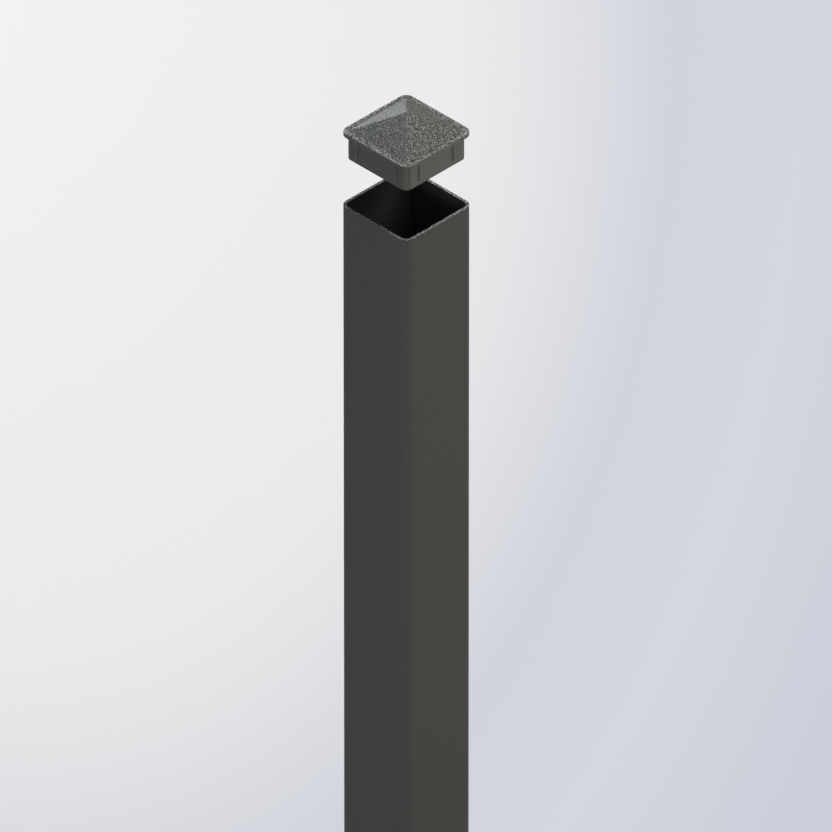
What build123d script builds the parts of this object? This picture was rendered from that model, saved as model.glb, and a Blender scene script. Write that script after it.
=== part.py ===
from build123d import *
from math import atan, cos, degrees
import os

# Gate post: a square steel tube and a push-in pyramid cap, drawn off the tube along its axis.
# Millimetres, +Z up. The origin is the middle of the tube's foot.

# Tube
POST_SIDE = 75.0
POST_WALL = 2.5
POST_CORNER_R = 7.75
POST_LENGTH = 1500.0
BORE_SIDE = POST_SIDE - 2 * POST_WALL
BORE_CORNER_R = POST_CORNER_R - POST_WALL

# Cap, above the spigot: its rim is flush with the tube all round
RIM_HEIGHT = 4.5
RIM_TOP_ROUND = 1.4
RIM_FOOT_ROUND = 1.1
PYRAMID_SIDE = 63.6
PYRAMID_HEIGHT = 17.4
RIDGE_ROUND = 2.5
TIP_SIDE = 2.6
TIP_ROUND = 2.5

# Spigot, which pushes into the tube
SPIGOT_SIDE = 68.0
SPIGOT_CORNER_R = 5.5
SPIGOT_DEPTH = 22.0
SPIGOT_FOOT_ROUND = 0.6
CAP_WALL = 3.0

# Crush ribs on the spigot, two on each side. Their crests stop just short of the bore.
RIB_WIDTH = 2.8
RIB_CLEARANCE = 0.05
RIB_HEIGHT = (BORE_SIDE - SPIGOT_SIDE) / 2 - RIB_CLEARANCE
RIB_CREST_ROUND = 0.9
RIB_END_ABOVE_FOOT = 4.0
RIB_LEAD_IN = 3.0
RIB_FROM_MIDDLE_ON_Y_SIDES = 21.5
RIB_FROM_MIDDLE_ON_X_SIDES = 19.0

# The cap stands this far above its seat on the tube's end
CAP_LIFT = 67.0

rim_foot_z = POST_LENGTH + CAP_LIFT
rim_top_z = rim_foot_z + RIM_HEIGHT
spigot_foot_z = rim_foot_z - SPIGOT_DEPTH

# The pyramid's faces lean in from upright by facet_taper, and stop at a small square tip
facet_taper = degrees(atan(PYRAMID_SIDE / 2 / PYRAMID_HEIGHT))
tip_height = PYRAMID_HEIGHT * (1 - TIP_SIDE / PYRAMID_SIDE)

# The hollow underneath keeps one wall thickness: its roof runs parallel to the pyramid's faces
cavity_side = SPIGOT_SIDE - 2 * CAP_WALL
cavity_corner_r = SPIGOT_CORNER_R - CAP_WALL
roof_slope = PYRAMID_HEIGHT / (PYRAMID_SIDE / 2)
roof_drop = CAP_WALL / cos(atan(roof_slope))
roof_height = roof_slope * cavity_side / 2
eaves_z = rim_top_z + PYRAMID_HEIGHT - roof_drop - roof_height

with BuildPart() as post_tube:
    with BuildSketch(Plane.XY):
        RectangleRounded(POST_SIDE, POST_SIDE, POST_CORNER_R)
        RectangleRounded(BORE_SIDE, BORE_SIDE, BORE_CORNER_R, mode=Mode.SUBTRACT)
    extrude(amount=POST_LENGTH)

# One crush rib, of which the cap has eight. Here the spigot's face is the YZ plane, with its foot at Z = 0.
# The inner half of the rib sits in the wall behind that face.
with BuildPart() as crush_rib:
    with BuildSketch(Plane.XY):
        RectangleRounded(2 * RIB_HEIGHT, RIB_WIDTH, RIB_CREST_ROUND)
    extrude(amount=SPIGOT_DEPTH)
    # Side view, which cuts the foot back to a slope that leads the rib into the bore
    with BuildSketch(Plane.XZ):
        with BuildLine():
            Polyline(
                (-RIB_HEIGHT, SPIGOT_DEPTH),
                (RIB_HEIGHT, SPIGOT_DEPTH),
                (RIB_HEIGHT, RIB_END_ABOVE_FOOT + RIB_LEAD_IN),
                (0, RIB_END_ABOVE_FOOT),
                (-RIB_HEIGHT, RIB_END_ABOVE_FOOT),
                close=True,
            )
        make_face()
    extrude(amount=RIB_WIDTH, both=True, mode=Mode.INTERSECT)

with BuildPart() as post_cap:
    # Rim, with its outer edges rounded above and below
    with BuildSketch(Plane.XY.offset(rim_foot_z)):
        RectangleRounded(POST_SIDE, POST_SIDE, POST_CORNER_R)
    extrude(amount=RIM_HEIGHT)
    fillet(post_cap.faces().sort_by(Axis.Z)[-1].edges(), RIM_TOP_ROUND)
    fillet(post_cap.faces().sort_by(Axis.Z)[0].edges(), RIM_FOOT_ROUND)

    # Pyramid, with its four ridges and its tip rounded
    with BuildSketch(Plane.XY.offset(rim_top_z)):
        Rectangle(PYRAMID_SIDE, PYRAMID_SIDE)
    extrude(amount=tip_height, taper=facet_taper)
    ridges = post_cap.edges().filter_by_position(
        Axis.Z, rim_top_z, rim_top_z + tip_height, inclusive=(False, False)
    )
    fillet(ridges, RIDGE_ROUND)
    fillet(post_cap.faces().sort_by(Axis.Z)[-1].edges(), TIP_ROUND)

    # Spigot, with its foot eased
    with BuildSketch(Plane.XY.offset(spigot_foot_z)):
        RectangleRounded(SPIGOT_SIDE, SPIGOT_SIDE, SPIGOT_CORNER_R)
    extrude(amount=SPIGOT_DEPTH)
    fillet(post_cap.faces().sort_by(Axis.Z)[0].edges(), SPIGOT_FOOT_ROUND)

    # Crush ribs, two on each side of the spigot. Each side is reached by a turn about the axis.
    for turn, from_middle in (
        (0, RIB_FROM_MIDDLE_ON_X_SIDES),
        (90, RIB_FROM_MIDDLE_ON_Y_SIDES),
        (180, RIB_FROM_MIDDLE_ON_X_SIDES),
        (270, RIB_FROM_MIDDLE_ON_Y_SIDES),
    ):
        with Locations(Location((0, 0, spigot_foot_z), (0, 0, turn))):
            with Locations((SPIGOT_SIDE / 2, -from_middle, 0), (SPIGOT_SIDE / 2, from_middle, 0)):
                add(crush_rib.part)

    # Hollow underneath, up to a roof that follows the pyramid
    with BuildSketch(Plane.XY.offset(spigot_foot_z)):
        RectangleRounded(cavity_side, cavity_side, cavity_corner_r)
    extrude(amount=eaves_z - spigot_foot_z, mode=Mode.SUBTRACT)
    with BuildSketch(Plane.XY.offset(eaves_z)):
        RectangleRounded(cavity_side, cavity_side, cavity_corner_r)
    extrude(amount=roof_height, taper=facet_taper, mode=Mode.SUBTRACT)

post_tube.part.label = "post_tube"
post_cap.part.label = "post_cap"

os.makedirs("parts", exist_ok=True)
export_step(post_tube.part, "parts/post_tube.step")
export_step(post_cap.part, "parts/post_cap.step")
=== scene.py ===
"""Looks of the gate post: a powder-coated square tube with its pyramid cap drawn off, on a pale floor.

Lengths are in metres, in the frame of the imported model: +Z up, the origin in the middle of the post's foot.
"""

import math

import bpy
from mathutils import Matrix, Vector


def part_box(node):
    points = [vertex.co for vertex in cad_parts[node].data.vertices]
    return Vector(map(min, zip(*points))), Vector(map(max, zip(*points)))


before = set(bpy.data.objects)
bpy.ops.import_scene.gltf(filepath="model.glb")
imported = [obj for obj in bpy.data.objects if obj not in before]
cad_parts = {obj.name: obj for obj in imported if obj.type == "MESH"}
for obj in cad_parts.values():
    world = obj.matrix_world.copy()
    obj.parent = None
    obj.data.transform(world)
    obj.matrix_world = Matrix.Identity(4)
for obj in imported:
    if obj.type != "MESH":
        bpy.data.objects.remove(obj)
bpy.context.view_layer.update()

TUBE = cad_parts["post_tube"]
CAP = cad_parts["post_cap"]
MOUTH = Vector((0.0, 0.0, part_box("post_tube")[1].z))

# Camera: the isometric direction, from so far off that its lines run nearly parallel
VIEW_AZIMUTH = math.radians(45.0)
VIEW_ELEVATION = math.radians(35.264)
VIEW_DISTANCE = 28.0
CLIP_START = 1.0
SENSOR = 36.0
FRAME_PIXELS = 832
PIXELS_PER_METRE = 1264.0
# The middle of the tube's open end, in pixels right of and above the middle of the frame
MOUTH_RIGHT_PIXELS = -9.72
MOUTH_UP_PIXELS = 211.58

# The view's own directions, in the model's frame. AWAY is level, and runs away from the viewer.
BACK = Vector(
    (
        math.sin(VIEW_AZIMUTH) * math.cos(VIEW_ELEVATION),
        -math.cos(VIEW_AZIMUTH) * math.cos(VIEW_ELEVATION),
        math.sin(VIEW_ELEVATION),
    )
)
RIGHT = Vector((math.cos(VIEW_AZIMUTH), math.sin(VIEW_AZIMUTH), 0.0))
UP = BACK.cross(RIGHT)
AWAY = Vector((0.0, 0.0, 1.0)).cross(RIGHT)

# Floor: its colour holds a painted pool of light, white in the middle of a wide oval behind the post and to
# its left, and bluish grey further out.
# Each stop has how far out it is, with 1 at the oval's edge, and the colour there.
FLOOR_SIDE = 120.0
FLOOR_ROUGHNESS = 0.9
FLOOR_SPECULAR = 0.0
PAINTED_POOL_MIDDLE = RIGHT * -0.33 + AWAY * 2.40
PAINTED_POOL_SIZE = (0.80, 1.92, 1.0)
PAINTED_POOL_STOPS = [
    (0.47, (0.765, 0.752, 0.760, 1.0)),
    (0.56, (0.720, 0.710, 0.745, 1.0)),
    (0.70, (0.602, 0.611, 0.688, 1.0)),
    (0.84, (0.627, 0.638, 0.706, 1.0)),
    (1.00, (0.580, 0.595, 0.690, 1.0)),
]

# Backdrop: a pale bluish grey. The camera sees the floor turn into it between two distances from a point
# behind the post.
BACKDROP_COLOUR = (0.62, 0.65, 0.71, 1.0)
BACKDROP_STRENGTH = 1.0
FLOOR_MIDDLE = AWAY * 1.0
FLOOR_FADES_ACROSS = (1.5, 3.2)

# Light: a dim even world and seven softboxes. Each softbox has the way to it from the tube's open end,
# its distance, its width and height, its power in watts, its colour, and how wide its light spreads, in
# degrees. The front, right and corner ones have a grid, which keeps most of their light off the floor.
WORLD_COLOUR = (1.0, 1.0, 1.0, 1.0)
WORLD_STRENGTH = 0.058
SOFTBOXES = {
    "overhead_softbox": ((0.10, 0.37, 0.92), 4.5, (3.4, 3.6), 262.0, (1.0, 0.975, 0.91), 180.0),
    "low_left_softbox": ((-0.92, 0.33, 0.08), 4.5, (2.3, 1.7), 88.0, (0.93, 0.97, 1.0), 180.0),
    "high_left_softbox": ((-0.95, 0.00, 0.35), 4.5, (2.2, 2.2), 37.0, (0.63, 0.85, 1.0), 180.0),
    "front_softbox": ((0.15, -0.98, -0.10), 3.0, (1.8, 1.8), 14.0, (1.0, 0.99, 0.96), 110.0),
    "right_softbox": ((0.70, 0.70, -0.30), 3.0, (1.4, 1.2), 5.55, (1.0, 0.96, 0.78), 80.0),
    "corner_softbox": ((0.74, -0.42, -0.45), 2.4, (2.2, 0.7), 1.9, (1.0, 0.95, 0.75), 60.0),
    "upper_right_softbox": ((0.75, -0.25, 0.60), 3.0, (1.6, 1.6), 10.0, (1.0, 0.96, 0.78), 180.0),
}

# Powder coat: a fine peel everywhere, and a coarser grain of dark and light specks where it faces up. There
# the grain's colours also make the coat lighter overall than on the sides, which is painted light from above.
PEEL_SIZE = 0.0005
PEEL_STRENGTH = 0.1
GRAIN_STRENGTH = 1.0
GRAIN_AND_TOP_LIGHT_SPAN = (0.05, 0.35)
NOISE_DETAIL = 1.0
NOISE_ROUGHNESS = 0.5
# Painted highlight: the light specks are painted paler near the outer edges, as the edges catch the light.
# They turn so between two distances from the post's axis.
PAINTED_EDGE_HIGHLIGHT_ACROSS = (0.0340, 0.0362)
# Painted sheen: on the facet that faces the front, the specks are drawn towards one bluish grey, standing in
# for the soft sheen the light lays on that side
PAINTED_SHEEN_FACING = (-0.20, -0.40)
PAINTED_SHEEN_GREY = (0.069, 0.080, 0.084, 1.0)
PAINTED_SHEEN_AMOUNT = 0.36


def add_node(tree, kind, **inputs):
    """A new node with the given input values, by socket name."""
    node = tree.nodes.new(kind)
    for name, value in inputs.items():
        node.inputs[name.replace("_", " ")].default_value = value
    return node


def add_operation(tree, kind, operation, *sources):
    """A maths or vector maths node that works on the given outputs."""
    node = tree.nodes.new(kind)
    node.operation = operation
    for source, socket in zip(sources, node.inputs):
        tree.links.new(source, socket)
    return node


def add_smoothstep(tree, source, span, top=1.0):
    """A value that goes smoothly from 0 to the top as its source crosses the span."""
    node = add_node(tree, "ShaderNodeMapRange", From_Min=span[0], From_Max=span[1], To_Max=top)
    node.interpolation_type = "SMOOTHSTEP"
    tree.links.new(source, node.inputs["Value"])
    return node.outputs["Result"]


def add_mix(tree, factor, a, b):
    """A mix of two colours, each a value or another node's output."""
    node = tree.nodes.new("ShaderNodeMix")
    node.data_type = "RGBA"
    tree.links.new(factor, node.inputs["Factor"])
    for socket, colour in ((node.inputs["A"], a), (node.inputs["B"], b)):
        if isinstance(colour, tuple):
            socket.default_value = colour
        else:
            tree.links.new(colour, socket)
    return node.outputs["Result"]


def mix_to_surface(tree, factor, a, b, output_name):
    """Makes a mix of two shaders the surface of the tree's output node."""
    mix = tree.nodes.new("ShaderNodeMixShader")
    tree.links.new(factor, mix.inputs["Fac"])
    tree.links.new(a, mix.inputs[1])
    tree.links.new(b, mix.inputs[2])
    tree.links.new(mix.outputs["Shader"], tree.nodes[output_name].inputs["Surface"])


def new_material(name, roughness, specular):
    """A material of the given roughness and specular level, with its node tree and its shader."""
    material = bpy.data.materials.new(name)
    material.use_nodes = True
    tree = material.node_tree
    shader = tree.nodes["Principled BSDF"]
    shader.inputs["Roughness"].default_value = roughness
    shader.inputs["Specular IOR Level"].default_value = specular
    return material, tree, shader


def make_camera():
    """A long lens, placed so that the tube's open end falls where the photograph has it."""
    aim_right = -MOUTH_RIGHT_PIXELS / PIXELS_PER_METRE
    aim_up = -MOUTH_UP_PIXELS / PIXELS_PER_METRE
    data = bpy.data.cameras.new("camera")
    data.sensor_width = SENSOR
    data.lens = SENSOR * VIEW_DISTANCE * PIXELS_PER_METRE / FRAME_PIXELS
    data.clip_start = CLIP_START
    data.clip_end = 2 * VIEW_DISTANCE
    camera = bpy.data.objects.new("camera", data)
    camera.location = MOUTH + RIGHT * aim_right + UP * aim_up + BACK * VIEW_DISTANCE
    camera.rotation_mode = "QUATERNION"
    camera.rotation_quaternion = (-BACK).to_track_quat("-Z", "Y")
    bpy.context.collection.objects.link(camera)
    bpy.context.scene.camera = camera


def add_painted_light_pool(tree, place):
    """The floor's colour, with a painted pool of light: white inside a wide soft oval, and bluish outside it.
    """
    oval = add_node(
        tree,
        "ShaderNodeMapping",
        Location=PAINTED_POOL_MIDDLE,
        Rotation=(0.0, 0.0, VIEW_AZIMUTH),
        Scale=PAINTED_POOL_SIZE,
    )
    oval.vector_type = "TEXTURE"
    tree.links.new(place, oval.inputs["Vector"])
    radius = add_operation(tree, "ShaderNodeVectorMath", "LENGTH", oval.outputs["Vector"])
    ramp = tree.nodes.new("ShaderNodeValToRGB")
    stops = ramp.color_ramp.elements
    # The ramp comes with two stops
    for position, _ in PAINTED_POOL_STOPS[2:]:
        stops.new(position)
    for stop, (position, colour) in zip(stops, PAINTED_POOL_STOPS):
        stop.position = position
        stop.color = colour
    tree.links.new(radius.outputs["Value"], ramp.inputs["Fac"])
    return ramp.outputs["Color"]


def floor_material():
    """Pale floor with its painted pool of light. Far from the post the camera sees the backdrop's colour in
    its place.
    """
    material, tree, shader = new_material("floor", FLOOR_ROUGHNESS, FLOOR_SPECULAR)
    place = tree.nodes.new("ShaderNodeTexCoord").outputs["Object"]
    # The floor's base colour carries the painted pool of light
    tree.links.new(add_painted_light_pool(tree, place), shader.inputs["Base Color"])

    distance = add_operation(tree, "ShaderNodeVectorMath", "DISTANCE", place)
    distance.inputs[1].default_value = FLOOR_MIDDLE
    far = add_smoothstep(tree, distance.outputs["Value"], FLOOR_FADES_ACROSS)
    ray = tree.nodes.new("ShaderNodeLightPath")
    seen_far = add_operation(tree, "ShaderNodeMath", "MULTIPLY", far, ray.outputs["Is Camera Ray"])
    backdrop = add_node(tree, "ShaderNodeEmission", Color=BACKDROP_COLOUR, Strength=BACKDROP_STRENGTH)
    mix_to_surface(
        tree,
        seen_far.outputs["Value"],
        shader.outputs["BSDF"],
        backdrop.outputs["Emission"],
        "Material Output",
    )
    return material


def make_floor():
    """One wide flat square under the post."""
    half = FLOOR_SIDE / 2
    corners = [(-half, -half, 0.0), (half, -half, 0.0), (half, half, 0.0), (-half, half, 0.0)]
    mesh = bpy.data.meshes.new("floor")
    mesh.from_pydata(corners, [], [(0, 1, 2, 3)])
    mesh.materials.append(floor_material())
    floor = bpy.data.objects.new("floor", mesh)
    bpy.context.collection.objects.link(floor)


def make_world():
    """Even soft light from all round, and a pale backdrop where the camera looks past the floor."""
    world = bpy.data.worlds.new("world")
    bpy.context.scene.world = world
    world.use_nodes = True
    tree = world.node_tree
    light = tree.nodes["Background"]
    light.inputs["Color"].default_value = WORLD_COLOUR
    light.inputs["Strength"].default_value = WORLD_STRENGTH
    backdrop = add_node(tree, "ShaderNodeBackground", Color=BACKDROP_COLOUR, Strength=BACKDROP_STRENGTH)
    ray = tree.nodes.new("ShaderNodeLightPath")
    mix_to_surface(
        tree,
        ray.outputs["Is Camera Ray"],
        light.outputs["Background"],
        backdrop.outputs["Background"],
        "World Output",
    )


def make_softbox(name, towards, distance, size, power, colour, spread):
    """An area light on the given side of the tube's open end, facing it."""
    data = bpy.data.lights.new(name, "AREA")
    data.shape = "RECTANGLE"
    data.size, data.size_y = size
    data.energy = power
    data.color = colour
    data.spread = math.radians(spread)
    light = bpy.data.objects.new(name, data)
    towards = Vector(towards).normalized()
    light.location = MOUTH + towards * distance
    light.rotation_mode = "QUATERNION"
    light.rotation_quaternion = (-towards).to_track_quat("-Z", "Y")
    light.visible_camera = False
    bpy.context.collection.objects.link(light)


def add_noise(tree, place, size):
    """Noise in the object's own coordinates, with grains of the given size."""
    node = add_node(
        tree, "ShaderNodeTexNoise", Scale=1 / size, Detail=NOISE_DETAIL, Roughness=NOISE_ROUGHNESS
    )
    tree.links.new(place, node.inputs["Vector"])
    return node.outputs["Fac"]


def add_bump(tree, height, strength, size):
    """A bump node whose relief has the given size."""
    node = add_node(tree, "ShaderNodeBump", Strength=strength, Distance=size)
    tree.links.new(height, node.inputs["Height"])
    return node


def add_distance_from_axis(tree, place):
    """How far a point is from the post's axis, measured square to the tube's sides."""
    sizes = add_operation(tree, "ShaderNodeVectorMath", "ABSOLUTE", place)
    across = tree.nodes.new("ShaderNodeSeparateXYZ")
    tree.links.new(sizes.outputs["Vector"], across.inputs["Vector"])
    larger = add_operation(tree, "ShaderNodeMath", "MAXIMUM", across.outputs["X"], across.outputs["Y"])
    return larger.outputs["Value"]


def coat_material(
    name, base, grain_size, grain_across, grain_dark, grain_light, painted_edge_highlight, roughness, specular
):
    """Powder coat of a base colour. Its grain goes from dark to light specks across a span of noise."""
    material, tree, shader = new_material(name, roughness, specular)
    coordinates = tree.nodes.new("ShaderNodeTexCoord")
    place = coordinates.outputs["Object"]
    normal = tree.nodes.new("ShaderNodeSeparateXYZ")
    tree.links.new(coordinates.outputs["Normal"], normal.inputs["Vector"])
    grain_and_painted_top_light = add_smoothstep(tree, normal.outputs["Z"], GRAIN_AND_TOP_LIGHT_SPAN)
    painted_sheen_on_front = add_smoothstep(tree, normal.outputs["Y"], PAINTED_SHEEN_FACING, PAINTED_SHEEN_AMOUNT)
    painted_highlight_near_edge = add_smoothstep(tree, add_distance_from_axis(tree, place), PAINTED_EDGE_HIGHLIGHT_ACROSS)

    noise = add_noise(tree, place, grain_size)
    # Painted sheen: specks on the front-facing facet are drawn towards one bluish grey
    dark_specks = add_mix(tree, painted_sheen_on_front, grain_dark, PAINTED_SHEEN_GREY)
    light_specks = add_mix(tree, painted_sheen_on_front, grain_light, PAINTED_SHEEN_GREY)
    # Painted highlight: the light specks turn paler near the outer edges
    light_specks = add_mix(tree, painted_highlight_near_edge, light_specks, painted_edge_highlight)
    grain = add_mix(tree, add_smoothstep(tree, noise, grain_across), dark_specks, light_specks)
    # Upward faces take the grain's real specks, and their mix is painted lighter than the sides as painted
    # light from above
    tree.links.new(add_mix(tree, grain_and_painted_top_light, base, grain), shader.inputs["Base Color"])

    peel_bump = add_bump(tree, add_noise(tree, place, PEEL_SIZE), PEEL_STRENGTH, PEEL_SIZE)
    grain_height = add_operation(tree, "ShaderNodeMath", "MULTIPLY", noise, grain_and_painted_top_light)
    grain_bump = add_bump(tree, grain_height.outputs["Value"], GRAIN_STRENGTH, grain_size)
    tree.links.new(peel_bump.outputs["Normal"], grain_bump.inputs["Normal"])
    tree.links.new(grain_bump.outputs["Normal"], shader.inputs["Normal"])
    return material


def dress(node, material):
    """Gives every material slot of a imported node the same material."""
    for slot in node.material_slots:
        slot.material = material


make_camera()
make_world()
make_floor()
for softbox_name, softbox in SOFTBOXES.items():
    make_softbox(softbox_name, *softbox)

dress(
    TUBE,
    coat_material(
        "post_coat",
        base=(0.064, 0.0635, 0.063, 1.0),
        grain_size=0.0012,
        grain_across=(0.45, 0.60),
        grain_dark=(0.012, 0.012, 0.012, 1.0),
        grain_light=(0.20, 0.21, 0.24, 1.0),
        painted_edge_highlight=(0.44, 0.47, 0.52, 1.0),
        roughness=0.6,
        specular=0.1,
    ),
)
dress(
    CAP,
    coat_material(
        "cap_coat",
        base=(0.0425, 0.0405, 0.0360, 1.0),
        grain_size=0.0011,
        grain_across=(0.43, 0.61),
        grain_dark=(0.004, 0.004, 0.004, 1.0),
        grain_light=(0.205, 0.207, 0.200, 1.0),
        painted_edge_highlight=(0.33, 0.335, 0.34, 1.0),
        roughness=0.45,
        specular=0.5,
    ),
)

bpy.context.scene.view_settings.view_transform = "Standard"
